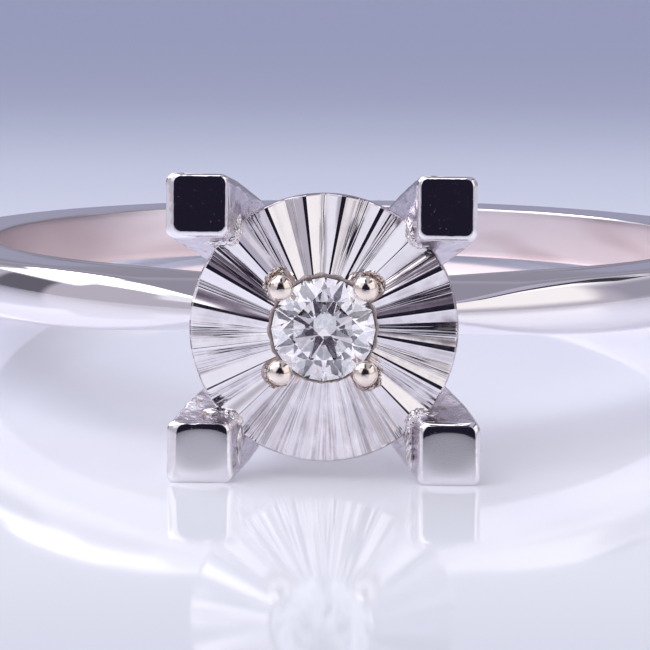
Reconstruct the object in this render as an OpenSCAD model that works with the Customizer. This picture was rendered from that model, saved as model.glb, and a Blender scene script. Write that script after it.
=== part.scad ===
// Solitaire ring with an illusion setting.
// A plain polished band, pinched at its shoulders, carries four square corner posts.
// A round fluted plate is soldered between the posts, and a small round brilliant
// sits in the plate's middle, held by four ball-ended claws.
//
// The ring lies on its side as it would on a table, head towards -Y, on the plane Z = 0:
// it rests on the outer edges of its two lower posts and on the back of the band.
// All sizes are in millimetres.

/* [Finger hole] */
// Inside diameter of the band
finger_d = 17; // [15:0.1:20]

/* [Band] */
// Thickness of the band, from the finger hole to its crown
band_t = 1.65; // [1.4:0.05:2.2]
// Width of the band at the back
back_w = 1.2; // [1:0.05:1.6]
// Widest part of the band, where the shoulders start to be pinched
shoulder_w = 1.5; // [1.3:0.02:1.7]
// Width that is left at the crown of the band where it meets the head
pinch_w = 0.26; // [0.2:0.02:0.6]
// How high the crown of the band stands over the edges of its outer face
crown_h = 0.45; // [0.3:0.05:0.6]

/* [Head] */
// Height of the plate's rim over the finger hole
plate_h = 4.55; // [4.2:0.05:5]
// Width across the four posts at their tops
head_w = 7.08; // [7:0.02:7.4]
// Width of one post at its top
post_w = 1.43; // [1.4:0.01:1.6]
// How far the post tops stand in front of the plate's rim
post_h = 0.45; // [0.3:0.05:0.7]
// How far a post's inner faces lean inwards for each millimetre of depth, at its top
inner_lean = 0.45; // [0.35:0.05:0.55]
// The same for its outer faces
outer_lean = 0.38; // [0.3:0.02:0.5]
// Width of the four posts together where they meet the band
base_w = 1.44; // [1.3:0.02:1.6]

/* [Fluted plate] */
// Diameter of the plate
plate_d = 6.14; // [5.8:0.02:6.3]
// Thickness of the plate at its rim
plate_t = 0.36; // [0.3:0.02:0.5]
// How much the plate rises from its rim to the stone
plate_rise = 0.26; // [0.15:0.01:0.4]
// Number of flutes cut into the plate
flutes = 20; // [12:2:24]
// Depth of a flute at its outer end
flute_depth = 0.17; // [0.1:0.01:0.22]
// Width of the flat land that is left between two flutes, in degrees of the plate's turn
land_w = 1.6; // [0.4:0.1:3]
// How far the flutes are turned round the plate, in degrees
flute_turn = 0.8; // [-4:0.1:4]
// How far the flutes are cut out over the rim
flute_over = 0.05; // [0.03:0.01:0.1]

/* [Stone] */
// Girdle diameter of the round brilliant
stone_d = 2.38; // [2.3:0.01:2.4]
// Width of the table across its flats, as a share of the girdle
table_share = 0.56; // [0.5:0.005:0.65]
// Angle of the crown's main facets
crown_angle = 34.5; // [30:0.5:38]
// Angle of the pavilion's main facets
pavilion_angle = 40.8; // [39:0.2:43]
// Thickness of the girdle
girdle_t = 0.07; // [0.04:0.01:0.1]
// Height of the girdle's upper edge over the plate's rim
girdle_h = 0.17; // [0.14:0.01:0.17]
// How far the stone sits right of and above the plate's middle
seat_shift = [0, -0.01];

/* [Claws] */
// Distance of each ball from the stone's middle
bead_r = 1.37; // [1.36:0.01:1.46]
// Diameter of a ball
bead_d = 0.59; // [0.5:0.01:0.6]
// Height of a ball's middle over the plate's rim
bead_h = 0.45; // [0.45:0.01:0.5]
// Diameter of the claw wire under a ball
claw_d = 0.42; // [0.36:0.02:0.42]
// Diameter of the pocket in the plate that a claw comes up through
pocket_d = 0.74; // [0.7:0.02:0.8]

/* [Hidden] */
$fn = 96;

// clearance between pieces that are not soldered
gap = 0.03;

finger_r = finger_d / 2;
band_r = finger_r + band_t;
plate_y = finger_r + plate_h;
stone_r = stone_d / 2;
crown_tan = tan(crown_angle);
pavilion_tan = tan(pavilion_angle);

// Band: the crown of its outer face is half an ellipse across the width
crown_half = shoulder_w / 2 + 0.05;
function crown_r(z) = band_r - crown_h + crown_h * sqrt(max(0, 1 - pow(z / crown_half, 2)));
crown_steps = 12;
band_profile = concat(
    [[finger_r - 0.5, -crown_half]],
    [for (i = [0:crown_steps])
        let (a = -90 + 180 * i / crown_steps)
        [band_r - crown_h + crown_h * cos(a), crown_half * sin(a)]],
    [[finger_r - 0.5, crown_half]]
);

// Side outline of the band: distance from the ring's middle towards the back, then the
// half width there. It is widest just behind the shoulders and pinched in towards the head.
side_rows = [
    [-band_r - 0.3, pinch_w / 2],
    [-finger_r - 1.05, pinch_w / 2 + 0.03],
    [-finger_r - 0.75, pinch_w / 2 + 0.13],
    [-finger_r - 0.10, pinch_w / 2 + 0.32],
    [-finger_r + 0.55, shoulder_w / 2 - 0.05],
    [-finger_r + 0.95, shoulder_w / 2 - 0.01],
    [-finger_r + 1.40, shoulder_w / 2],
    [0, (shoulder_w + back_w) / 4 + 0.01],
    [band_r + 0.3, back_w / 2]
];

// Posts: depth behind the post tops, down to the band and on to the finger hole
post_edge = 0.13;
post_corner = 0.2;
post_depth = plate_h + post_h - band_t;
hole_depth = plate_h + post_h;
head_half = head_w / 2;
base_half = base_w / 2;
hole_half = 0.66;
overlap = 0.05;

// How far a face has moved inwards at depth d, when it starts with this slope and moves by
// total down to the band
lean_depth = post_depth - post_edge;
function lean(d, slope, total) =
    let (e = max(0, d - post_edge))
    slope * e + (total - slope * lean_depth) * pow(e / lean_depth, 2);
function post_inner(d) = head_half - post_w - lean(d, inner_lean, head_half - post_w + overlap);
function post_outer(d) = head_half - lean(d, outer_lean, head_half - base_half);

// Each row is a cross-section of a post: depth, inner face, outer face, corner radius.
// The first rows round the edge of the top.
post_rows = concat(
    [for (a = [0, 30, 60])
        let (inset = post_edge * (1 - sin(a)), d = post_edge * (1 - cos(a)))
        [d, post_inner(d) + inset, post_outer(d) - inset, post_corner - inset / 2]],
    [[post_edge, post_inner(post_edge), post_outer(post_edge), post_corner]],
    [for (i = [1:7])
        let (d = post_depth * i / 7)
        [d, post_inner(d), post_outer(d), post_corner * (1 - 0.6 * i / 7)]],
    [[hole_depth + 0.3, -overlap, hole_half, post_corner * 0.4]]
);
corner_steps = 3;

// Plate
seat_r = stone_r + 0.1;
flute_end = plate_d / 2 + flute_over;
half_flute = 180 / flutes - land_w / 2;
solder_d = 0.52;

// Stone: radii and heights of its rings of corners, all from the girdle's upper edge
table_r = table_share * stone_r / cos(22.5);
crown_top = (stone_r - table_r) * crown_tan;
star_r = (table_r * cos(22.5) + stone_r) / 2;
star_h = crown_top - (star_r * cos(22.5) - table_r) * crown_tan;
keel_r = 0.24 * stone_r;
culet_h = -girdle_t - stone_r * pavilion_tan;
keel_h = culet_h + keel_r * cos(22.5) * pavilion_tan;

// Pockets and claws lie on the diagonals
pocket_r = bead_r + 0.11;
claw_r = bead_r + 0.06;

// Collet: heights over the plate's rim. Its seat runs along the pavilion, a gap outside it,
// down to a plain round opening under the stone's point.
girdle_low = girdle_h - girdle_t;
seat_wall = stone_r + gap / sin(pavilion_angle);
open_r = 0.6;
collet_top = girdle_low - 0.02;
flange_top = -plate_t - gap;
collet_foot = flange_top - 0.42;
collet_r = seat_r - gap;
flange_r = 1.66;

// Rest: the lowest point of the posts and of the band's back set the tilt and the lift
post_low = [plate_y + post_h - post_edge, head_half];
back_low = [crown_r(back_w / 2), back_w / 2];
rest_tilt = atan((post_low[1] - back_low[1]) / (post_low[0] + back_low[0]));
rest_lift = back_low[0] * sin(rest_tilt) + back_low[1] * cos(rest_tilt);
front_y = -(plate_y + post_h) * cos(rest_tilt) - (head_half - post_edge) * sin(rest_tilt);
back_y = band_r * cos(rest_tilt) + 0.04 * sin(rest_tilt);
rest_shift = -(front_y + back_y) / 2;

// Turns the ring from its own frame, finger axis along Z, into its resting place
module at_rest() {
    translate([0, rest_shift, rest_lift]) rotate([-rest_tilt, 0, 0]) children();
}

// Moves a piece from the plate's frame, Z outwards from the middle of the rim, to the ring's
module at_plate() {
    translate([0, -plate_y, 0]) rotate([90, 0, 0]) children();
}

// Moves a piece from the plate's middle to the stone's middle
module at_seat() {
    at_plate() translate([seat_shift[0], seat_shift[1], 0]) children();
}

// Puts a copy on each of the four diagonals
module on_diagonals(r) {
    for (a = [45:90:315]) rotate([0, 0, a]) translate([r, 0, 0]) children();
}

// A closed solid through rings of points that all have the same number of points
module loft(rings) {
    n = len(rings[0]);
    m = len(rings);
    points = [for (ring = rings) for (p = ring) p];
    side = [for (j = [0:m - 2]) for (i = [0:n - 1])
        let (a = j * n + i, b = j * n + (i + 1) % n)
        for (f = [[a, b, a + n], [b, b + n, a + n]])
        f];
    first = [for (i = [n - 1:-1:0]) i];
    last = [for (i = [0:n - 1]) (m - 1) * n + i];
    polyhedron(points, concat(side, [first, last]));
}

// Points of a rounded rectangle from corner a to corner b, with corners of radius r
function rounded(a, b, r, z) =
    [for (q = [0:3])
        let (
            cx = (q == 0 || q == 3) ? b[0] - r : a[0] + r,
            cy = (q < 2) ? b[1] - r : a[1] + r
        )
        for (s = [0:corner_steps])
            let (t = 90 * q + 90 * s / corner_steps)
            [cx + r * cos(t), cy + r * sin(t), z]];

module band() {
    intersection() {
        rotate_extrude($fn = 180) polygon(band_profile);
        rotate([90, 0, 90])
            linear_extrude(height = 3 * band_r, center = true)
                polygon(concat(
                    side_rows,
                    [for (i = [len(side_rows) - 1:-1:0]) [side_rows[i][0], -side_rows[i][1]]]
                ));
    }
}

// One post in the plate's frame, in the quarter where x and y are positive
module post() {
    loft([for (row = post_rows)
        rounded([row[1], row[1]], [row[2], row[2]], row[3], post_h - row[0])]);
}

// A V-shaped cutter for one flute, from the seat out over the rim
module flute_cutter() {
    inner = seat_r - 0.2;
    // each end: height of the plate there, depth of the V and half its width
    ends = [for (r = [inner, flute_end])
        let (top = plate_rise * (1 - (r - seat_r) / (plate_d / 2 - seat_r)))
        [r, top, flute_depth * r / flute_end, r * tan(half_flute)]];
    up = 0.3;
    points = [for (e = ends) for (p = [
        [e[0], 0, e[1] - e[2]],
        [e[0], e[3], e[1]],
        [e[0], e[3], e[1] + up],
        [e[0], -e[3], e[1] + up],
        [e[0], -e[3], e[1]]
    ]) p];
    polyhedron(points, [
        [0, 1, 2, 3, 4], [9, 8, 7, 6, 5],
        [5, 6, 1, 0], [6, 7, 2, 1], [7, 8, 3, 2], [8, 9, 4, 3], [9, 5, 0, 4]
    ]);
}

module fluted_plate() {
    rim_r = plate_d / 2;
    difference() {
        rotate_extrude($fn = 160) polygon([
            [0, -plate_t], [rim_r - 0.05, -plate_t], [rim_r, -plate_t + 0.05],
            [rim_r, -0.04], [rim_r - 0.04, 0], [seat_r, plate_rise], [0, plate_rise]
        ]);
        for (i = [0:flutes - 1]) rotate([0, 0, i * 360 / flutes + flute_turn]) flute_cutter();
        translate([seat_shift[0], seat_shift[1], 0]) {
            cylinder(r = seat_r, h = 4, center = true);
            on_diagonals(pocket_r) cylinder(d = pocket_d, h = 4, center = true);
        }
    }
}

// Solder that fills the corner between the plate's rim and a post
module solder() {
    on_diagonals(plate_d / 2 - 0.12) translate([0, 0, -solder_d / 4]) sphere(d = solder_d, $fn = 24);
}

module ring_mounting() {
    color("gainsboro") at_rest() difference() {
        union() {
            band();
            at_plate() {
                for (a = [0:90:270]) rotate([0, 0, a]) post();
                fluted_plate();
                solder();
            }
        }
        cylinder(r = finger_r, h = 20, center = true, $fn = 180);
    }
}

module collet() {
    claw_foot = flange_top - 0.2;
    color("wheat") at_rest() at_seat() {
        rotate_extrude() polygon([
            [seat_wall - (girdle_low - collet_top) / pavilion_tan, collet_top],
            [collet_r, collet_top], [collet_r, flange_top], [flange_r, flange_top],
            [flange_r - 0.1, collet_foot], [open_r, collet_foot],
            [open_r, girdle_low - (seat_wall - open_r) * pavilion_tan]
        ]);
        on_diagonals(claw_r) translate([0, 0, claw_foot])
            cylinder(d = claw_d, h = bead_h - claw_foot, $fn = 32);
        on_diagonals(bead_r) translate([0, 0, bead_h]) sphere(d = bead_d, $fn = 48);
    }
}

// Round brilliant: table, 8 stars, 8 kites, 16 upper and 16 lower halves, 8 pavilion mains
module stone() {
    function ring(n, r, z, start) =
        [for (i = [0:n - 1]) let (a = start + 360 * i / n) [r * cos(a), r * sin(a), z]];
    points = concat(
        ring(8, table_r, crown_top, 22.5),
        ring(8, star_r, star_h, 45),
        ring(16, stone_r, 0, 22.5),
        ring(16, stone_r, -girdle_t, 22.5),
        ring(8, keel_r, keel_h, 45),
        [[0, 0, culet_h]]
    );
    // number of the first corner in each ring
    star = 8;
    upper = 16;
    lower = 32;
    keel = 48;
    culet = 56;
    facets = concat(
        [[for (i = [7:-1:0]) i]],
        [for (i = [0:7])
            let (next = (i + 1) % 8, last = (i + 7) % 8, g = 2 * i, h = 2 * i + 1, g_next = 2 * next)
            for (f = [
                [i, next, star + i],
                [i, star + i, upper + g, star + last],
                [star + i, upper + h, upper + g],
                [star + i, upper + g_next, upper + h],
                [upper + g, upper + h, lower + h, lower + g],
                [upper + h, upper + g_next, lower + g_next, lower + h],
                [keel + i, lower + g, lower + h],
                [keel + i, lower + h, lower + g_next],
                [culet, keel + last, lower + g, keel + i]
            ]) f]
    );
    color("azure") at_rest() at_seat() translate([0, 0, girdle_h]) polyhedron(points, facets);
}

ring_mounting();
collet();
stone();
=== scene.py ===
# %% [markdown]
# A solitaire ring lies on its side on a pale glossy table. The band is polished white gold,
# its head is four square posts around a fluted plate, and a small round brilliant sits in
# the middle. The CAD solids give every size and place. This lesson puts finer surfaces over
# them: each one is a formula on a grid of two parameters.

# %% Load the CAD frame
from math import cos, degrees, pi, radians, sin, sqrt, tan

import bpy
import numpy as np
from mathutils import Matrix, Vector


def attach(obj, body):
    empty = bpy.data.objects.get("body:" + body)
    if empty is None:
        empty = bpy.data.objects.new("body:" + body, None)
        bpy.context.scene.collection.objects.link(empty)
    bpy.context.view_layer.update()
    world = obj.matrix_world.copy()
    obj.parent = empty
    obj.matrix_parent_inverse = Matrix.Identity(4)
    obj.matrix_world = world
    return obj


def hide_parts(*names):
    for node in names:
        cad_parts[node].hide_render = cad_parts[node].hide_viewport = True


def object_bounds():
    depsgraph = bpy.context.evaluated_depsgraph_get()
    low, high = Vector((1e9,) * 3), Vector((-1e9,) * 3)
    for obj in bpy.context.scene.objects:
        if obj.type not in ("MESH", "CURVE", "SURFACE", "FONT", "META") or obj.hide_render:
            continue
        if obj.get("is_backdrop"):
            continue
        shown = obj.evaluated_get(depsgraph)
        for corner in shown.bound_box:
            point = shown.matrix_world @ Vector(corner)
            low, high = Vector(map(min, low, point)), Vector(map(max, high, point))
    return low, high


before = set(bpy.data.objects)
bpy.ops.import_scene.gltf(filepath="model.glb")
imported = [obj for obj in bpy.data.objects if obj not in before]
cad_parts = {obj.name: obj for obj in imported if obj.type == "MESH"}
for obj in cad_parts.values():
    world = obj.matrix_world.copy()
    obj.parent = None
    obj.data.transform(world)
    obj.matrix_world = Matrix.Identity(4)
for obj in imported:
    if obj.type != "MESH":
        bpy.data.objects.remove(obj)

cad_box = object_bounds()
print("CAD nodes:", *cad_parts)

# %% [markdown]
# Three frames of reference make the formulas short. The plate's frame has its origin in the
# middle of the plate's rim and Z outwards, towards the eye. The ring's frame has the finger
# axis along Z and the head towards -Y. The table's frame is the one that everything is
# stored in: the ring is tipped by 7.2 degrees, so that it rests on its two lower posts and
# on the back of the band. Lengths are in millimetres until the last step makes them metres.

# %% Frames of reference
MM = 0.001
REST_TILT = radians(7.17099)
REST_SHIFT = 1.87224
REST_LIFT = 1.84332
PLATE_Y = 13.05


def turn_down(vectors):
    """A turn about X by the rest tilt: y' = y cos t + z sin t, z' = z cos t - y sin t."""
    x, y, z = np.moveaxis(np.asarray(vectors, float), -1, 0)
    c, s = cos(REST_TILT), sin(REST_TILT)
    return np.stack([x, y * c + z * s, z * c - y * s], axis=-1)


def lay_down(points):
    """Ring's frame in millimetres to the table's frame in metres."""
    return (turn_down(points) + [0, REST_SHIFT, REST_LIFT]) * MM


def on_head(points):
    """Plate's frame to table's frame: the plate's y is the ring's height, and outwards is -Y."""
    x, y, z = np.moveaxis(np.asarray(points, float), -1, 0)
    return lay_down(np.stack([x, -PLATE_Y - z, y], axis=-1))


# %% [markdown]
# The camera comes from the photograph: the ellipses of the band's edges fix how far it looks
# down, and how much the far side of the ring shrinks fixes its distance.

# %% Camera
VIEW_UP, VIEW_RIGHT, VIEW_ROLL = 6.64, 2.29, radians(0.39)
VIEW_FAR = 200
LENS_PIXELS = 8781
SENSOR = 36
FRAME_PIXELS = 650
NUDGE = (0.0307, 0.0709)


def aim(turn, rise):
    """The direction at a turn to the right of the ring's front and a rise, both in degrees."""
    a, e = radians(turn), radians(rise)
    return np.array([sin(a) * cos(e), -cos(a) * cos(e), sin(e)])


back, right = aim(VIEW_RIGHT, VIEW_UP), aim(VIEW_RIGHT + 90, 0)
up = np.cross(back, right)
c, s = cos(VIEW_ROLL), sin(VIEW_ROLL)
right, up = c * right + s * up, c * up - s * right
eye = np.array([0, -PLATE_Y, 0]) + VIEW_FAR * back + NUDGE[0] * right + NUDGE[1] * up

camera = bpy.data.objects.new("camera", bpy.data.cameras.new("camera"))
bpy.context.scene.collection.objects.link(camera)
camera.data.sensor_width = SENSOR
camera.data.lens = LENS_PIXELS * SENSOR / FRAME_PIXELS
camera.data.clip_start = 0.002
camera.data.clip_end = 5
place = Matrix(np.transpose([turn_down(v) for v in (right, up, back)]).tolist()).to_4x4()
place.translation = lay_down(eye).tolist()
camera.matrix_world = place
bpy.context.scene.camera = camera

# %% [markdown]
# Every surface is a grid of points. A few helpers list the four-cornered faces between
# neighbouring points, close the ends of a tube with a fan of triangles, and fill a Blender
# mesh. Faces have to point outwards. The enclosed volume tells: summed over all faces it
# comes out negative when they point inwards.

# %% Grids and meshes
def polar(radius, turn, height):
    """Points at a radius from the Z axis, a turn round it and a height."""
    flat = radius * np.cos(turn), radius * np.sin(turn)
    return np.stack(np.broadcast_arrays(*flat, height), axis=-1)


def weave(rows, columns, closed=True):
    """Faces between neighbours in a grid that is round across and, if closed, from row to row."""
    r, c = np.meshgrid(np.arange(rows if closed else rows - 1), np.arange(columns), indexing="ij")
    r2, c2 = (r + 1) % rows, (c + 1) % columns
    quads = [r * columns + c, r2 * columns + c, r2 * columns + c2, r * columns + c2]
    return np.stack(quads, axis=-1).reshape(-1, 4)


def capped(rows, columns):
    """Faces of a tube of rows, with a fan to each of its tips, the two points after the grid."""
    count, first = rows * columns, np.arange(columns)
    groups = [weave(rows, columns, closed=False)]
    for ring, tip in ((first, count), (first[::-1] + count - columns, count + 1)):
        groups.append(np.stack([ring, np.roll(ring, -1), np.full(columns, tip)], axis=-1))
    return groups


def volume(points, groups):
    """Volume inside closed faces: the sum of a . (b x c) / 6 over their triangles."""
    total = 0.0
    for group in groups:
        a = points[group[:, 0]]
        for k in range(1, group.shape[1] - 1):
            total += np.einsum("ij,ij->", a, np.cross(points[group[:, k]], points[group[:, k + 1]]))
    return total / 6


def make(name, points, groups, materials, smooth=True, crease=None, marks=None, slots=None):
    """Puts points (n, 3) and groups of faces into a new object at the origin, faces outwards.

    crease is the angle in degrees over which an edge stays sharp, marks are named numbers
    for the points, and slots gives the material's number for each face.
    """
    points = np.asarray(points, float).reshape(-1, 3)
    if volume(points, groups) < 0:
        groups = [g[:, ::-1] for g in groups]
    corners = np.concatenate([g.ravel() for g in groups])
    sizes = np.concatenate([np.full(len(g), g.shape[1]) for g in groups])
    mesh = bpy.data.meshes.new(name)
    mesh.vertices.add(len(points))
    mesh.vertices.foreach_set("co", points.ravel())
    mesh.loops.add(len(corners))
    mesh.loops.foreach_set("vertex_index", corners.astype(np.int32))
    mesh.polygons.add(len(sizes))
    starts = np.concatenate([[0], np.cumsum(sizes)[:-1]]).astype(np.int32)
    mesh.polygons.foreach_set("loop_start", starts)
    mesh.polygons.foreach_set("use_smooth", np.full(len(sizes), smooth))
    mesh.update(calc_edges=True)
    if crease is not None:
        mesh.set_sharp_from_angle(angle=radians(crease))
    for mark, values in (marks or {}).items():
        layer = mesh.attributes.new(mark, "FLOAT", "POINT")
        layer.data.foreach_set("value", np.asarray(values, np.float32).ravel())
    for material in materials:
        mesh.materials.append(material)
    if slots is not None:
        mesh.polygons.foreach_set("material_index", np.asarray(slots, np.int32))
    mesh.validate()
    piece = bpy.data.objects.new(name, mesh)
    bpy.context.scene.collection.objects.link(piece)
    print(f"{name}: {len(points)} points, {abs(volume(points, groups)) / MM ** 3:.2f} mm3")
    return piece


# %% [markdown]
# Metal shows little of itself: its finish is how sharply it mirrors the room and which fine
# marks break the mirror. So each finish below is one metallic shader with a tint, a
# roughness and a bump. Scratches are a noise stretched along one way, and patches of noise
# on the roughness are where a polishing cloth missed.

# %% Helpers for finishes
def new_finish(name, tint, roughness, metallic=1.0):
    """A material with one shader, and the tree to add nodes to."""
    material = bpy.data.materials.new(name)
    material.use_nodes = True
    material.diffuse_color = (*tint, 1.0)
    tree = material.node_tree
    feed(tree, Base_Color=tint, Roughness=roughness, Metallic=metallic)
    return material, tree


def plug(socket, value):
    """Gives a socket another node's output, a number or a colour."""
    if isinstance(value, bpy.types.NodeSocket):
        socket.id_data.links.new(value, socket)
    else:
        socket.default_value = (*value, 1.0) if socket.type == "RGBA" else value


def feed(tree, **sockets):
    """Gives each named socket of the tree's shader its value."""
    for key, value in sockets.items():
        plug(tree.nodes["Principled BSDF"].inputs[key.replace("_", " ")], value)


def node(tree, kind, **settings):
    """Adds a shader node and sets what is named: one of its sockets, or else one of its settings."""
    made = tree.nodes.new("ShaderNode" + kind)
    for key, value in settings.items():
        socket = made.inputs.get(key.replace("_", " "))
        if socket is None:
            setattr(made, key, value)
        else:
            plug(socket, value)
    return made


def own_place(tree):
    """Where a point of the piece is, in the table's frame and in metres."""
    return node(tree, "TexCoord").outputs["Object"]


def mark(tree, name):
    """A number that each point of the mesh carries."""
    return node(tree, "Attribute", attribute_name=name).outputs["Fac"]


def grain(tree, size, stretch=(1, 1, 1), detail=3, roughness=0.5):
    """Noise with features of about size millimetres, drawn out along the axes by stretch."""
    scale = [1.0 / (size * MM * s) for s in stretch]
    mapping = node(tree, "Mapping", Vector=own_place(tree), Scale=scale)
    return node(tree, "TexNoise", Vector=mapping.outputs["Vector"], Scale=1.0,
                Detail=detail, Roughness=roughness).outputs["Fac"]


def against(tree, operation, place, fixed):
    """The dot product or the distance of a place and a fixed vector."""
    made = node(tree, "VectorMath", operation=operation, Vector=place)
    made.inputs[1].default_value = fixed
    return made.outputs["Value"]


def spread(tree, value, low, high, to_low, to_high, kind="LINEAR"):
    """Maps a value from one range to another, held at both ends."""
    return node(tree, "MapRange", interpolation_type=kind, Value=value, From_Min=low,
                From_Max=high, To_Min=to_low, To_Max=to_high).outputs["Result"]


def patchy(tree, size, low, high, to_low, to_high, kind="LINEAR", **texture):
    """Grain of a size, mapped from one range to another."""
    return spread(tree, grain(tree, size, **texture), low, high, to_low, to_high, kind)


def blend(tree, share, first, second, kind="RGBA"):
    """Mixes two colours, or two numbers if kind is FLOAT, by a share from 0 to 1."""
    made = node(tree, "Mix", data_type=kind)
    slot = 2 if kind == "RGBA" else 0
    for number, value in ((0, share), (2 * slot + 2, first), (2 * slot + 3, second)):
        plug(made.inputs[number], value)
    return made.outputs[slot]


def maths(tree, operation, *values):
    """One step of arithmetic on sockets or numbers."""
    made = node(tree, "Math", operation=operation)
    for socket, value in zip(made.inputs, values):
        plug(socket, value)
    return made.outputs[0]


def times(tree, product, *others):
    """The product of sockets and numbers."""
    for other in others:
        product = maths(tree, "MULTIPLY", product, other)
    return product


def bump(tree, height, depth, strength, **under):
    """Bump of a height map, depth millimetres deep, over another one if under names its Normal."""
    made = node(tree, "Bump", Height=height, Distance=depth * MM, Strength=strength, **under)
    feed(tree, Normal=made.outputs["Normal"])
    return made.outputs["Normal"]


# %% [markdown]
# The rhodium plated white gold of the band is a near mirror with a cool tint. Duller patches
# break it a little, and so do hairline scratches along the way the cloth moved. Its inside
# is bare gold with a satin finish, a little warmer and less sharp. Its colour is darker and
# browner in soft patches, and a painted shade darkens the left of it most.

# %% Tints
WHITE_GOLD = (0.9, 0.865, 0.89)
# painted dark reflection on the plate's streaks, walls and rim
PAINTED_DARK_GOLD = (0.4, 0.335, 0.37)
INSIDE_GOLD = (0.85, 0.8, 0.835)
DARK_PATCH_TINT = (0.66, 0.585, 0.605)
# painted shade on the left of the band's inside
PAINTED_SHADE_TINT = (0.5, 0.45, 0.475)
ROUGH_GOLD = (0.76, 0.715, 0.77)
STAIN = (0.42, 0.33, 0.29)
SOLDER_CLEAN, SOLDER_BURNT = (0.86, 0.82, 0.84), (0.5, 0.41, 0.38)
WARM_GOLD = (0.93, 0.82, 0.73)
FLOWED_WHITE, FLOWED_BROWN, FLOWED_GOLD = (1.0, 0.97, 0.97), (0.42, 0.34, 0.31), (0.8, 0.62, 0.45)
SEAT_DARK, SEAT_LIGHT = (0.62, 0.53, 0.5), (0.8, 0.71, 0.68)
FLOWED_MEAN, SEAT_MEAN = (0.6, 0.52, 0.45), (0.62, 0.54, 0.5)
GLASS = (0.985, 0.99, 1.0)

# %% Finishes of the band and the plate
SATIN = 0.26
PAINTED_SHADE_X = (-7.2 * MM, -4.6 * MM)

polished, tree = new_finish("polished_white_gold", WHITE_GOLD, 0.07)
inside = mark(tree, "inside")
dull = patchy(tree, 1.5, 0.35, 0.7, 0.035, 0.1, detail=4)
darker_patches = patchy(tree, 3.5, 0.42, 0.68, 0, 0.8, "SMOOTHSTEP", stretch=(1, 1, 0.25), detail=1)
sideways = node(tree, "SeparateXYZ", Vector=own_place(tree)).outputs["X"]
# the left of the inside is darkened by a painted shade, by its place along X
painted_shade_left = spread(tree, sideways, *PAINTED_SHADE_X, 0.95, 0.0, "SMOOTHSTEP")
inside_tint_and_shade = blend(tree, painted_shade_left, blend(tree, darker_patches, INSIDE_GOLD, DARK_PATCH_TINT), PAINTED_SHADE_TINT)
feed(tree, Roughness=maths(tree, "ADD", dull, times(tree, inside, SATIN)),
     Base_Color=blend(tree, inside, WHITE_GOLD, inside_tint_and_shade))
bump(tree, grain(tree, 0.03, stretch=(14, 2, 1), detail=2), 0.0006, 0.35)

bright_cut, tree = new_finish("bright_cut_white_gold", WHITE_GOLD, 0.09)
# where the mark is high the cut is duller, which is wear, and darker, which is a painted dark reflection
wear_and_painted_dark = times(tree, mark(tree, "wear_and_dark_mark"), patchy(tree, 0.5, 0.35, 0.6, 0.2, 1.0, detail=5, roughness=0.6))
clean = patchy(tree, 0.25, 0.35, 0.7, 0.04, 0.1, detail=5)
feed(tree, Roughness=maths(tree, "ADD", clean, times(tree, wear_and_painted_dark, 0.15)),
     Base_Color=blend(tree, wear_and_painted_dark, WHITE_GOLD, PAINTED_DARK_GOLD))
bump(tree, grain(tree, 0.02), 0.0006, 0.4)

# %% [markdown]
# The posts have two finishes. Their tops are polished flat. Their sides are nearly as they
# were cast: duller, mottled, with brownish stains where solder flux burnt on. A number that
# each point carries, polish, blends the one into the other across the rounded edge. Even
# the tops have a few pinholes that the casting left.

# %% Finish of the posts
post_finish, tree = new_finish("post_white_gold", WHITE_GOLD, 0.2)
polish = mark(tree, "polish")
stains = patchy(tree, 0.5, 0.56, 0.66, 0, 0.8, stretch=(1, 1, 0.6), detail=5, roughness=0.65)
mottle = patchy(tree, 0.35, 0.3, 0.7, 0.12, 0.26, detail=6, roughness=0.6)
pinholes = patchy(tree, 0.05, 0.69, 0.75, 0.045, 0.24, detail=1)
feed(tree, Base_Color=blend(tree, polish, blend(tree, stains, ROUGH_GOLD, STAIN), WHITE_GOLD),
     Roughness=blend(tree, polish, mottle, pinholes, "FLOAT"))
unpolished = spread(tree, polish, 0, 1, 1, 0)
pits = bump(tree, times(tree, grain(tree, 0.12, detail=6, roughness=0.6), unpolished), 0.02, 0.8)
bump(tree, grain(tree, 0.02, stretch=(3, 1, 1), detail=2), 0.0005, 0.3, Normal=pits)

# %% [markdown]
# Solder is streaked, white where it shines and brown where flux stayed. The claws are
# unplated white gold, a warm champagne colour, and so is the collet, left matt.

# %% Finishes of the solder, the claws and the collet
solder_finish, tree = new_finish("solder", ROUGH_GOLD, 0.2)
burnt = patchy(tree, 0.12, 0.52, 0.66, 0, 0.8, stretch=(1, 1, 3), detail=5, roughness=0.6)
feed(tree, Base_Color=blend(tree, burnt, SOLDER_CLEAN, SOLDER_BURNT),
     Roughness=patchy(tree, 0.15, 0.3, 0.7, 0.1, 0.25, detail=4))
bump(tree, grain(tree, 0.035, stretch=(1, 1, 5)), 0.006, 0.6)

claw_finish, tree = new_finish("champagne_gold", WARM_GOLD, 0.12)
feed(tree, Roughness=patchy(tree, 0.15, 0.35, 0.7, 0.07, 0.18, detail=5))
bump(tree, grain(tree, 0.09, detail=4), 0.003, 0.5)

collar_finish, tree = new_finish("flowed_gold", FLOWED_MEAN, 0.3)
brown = patchy(tree, 0.05, 0.53, 0.59, 0, 1.0, detail=6)
golden = patchy(tree, 0.09, 0.53, 0.6, 0, 0.8, detail=4)
feed(tree, Base_Color=blend(tree, golden, blend(tree, brown, FLOWED_WHITE, FLOWED_BROWN), FLOWED_GOLD),
     Roughness=patchy(tree, 0.07, 0.3, 0.7, 0.08, 0.22, detail=4))
bump(tree, grain(tree, 0.05, detail=5), 0.028, 0.8)

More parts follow.
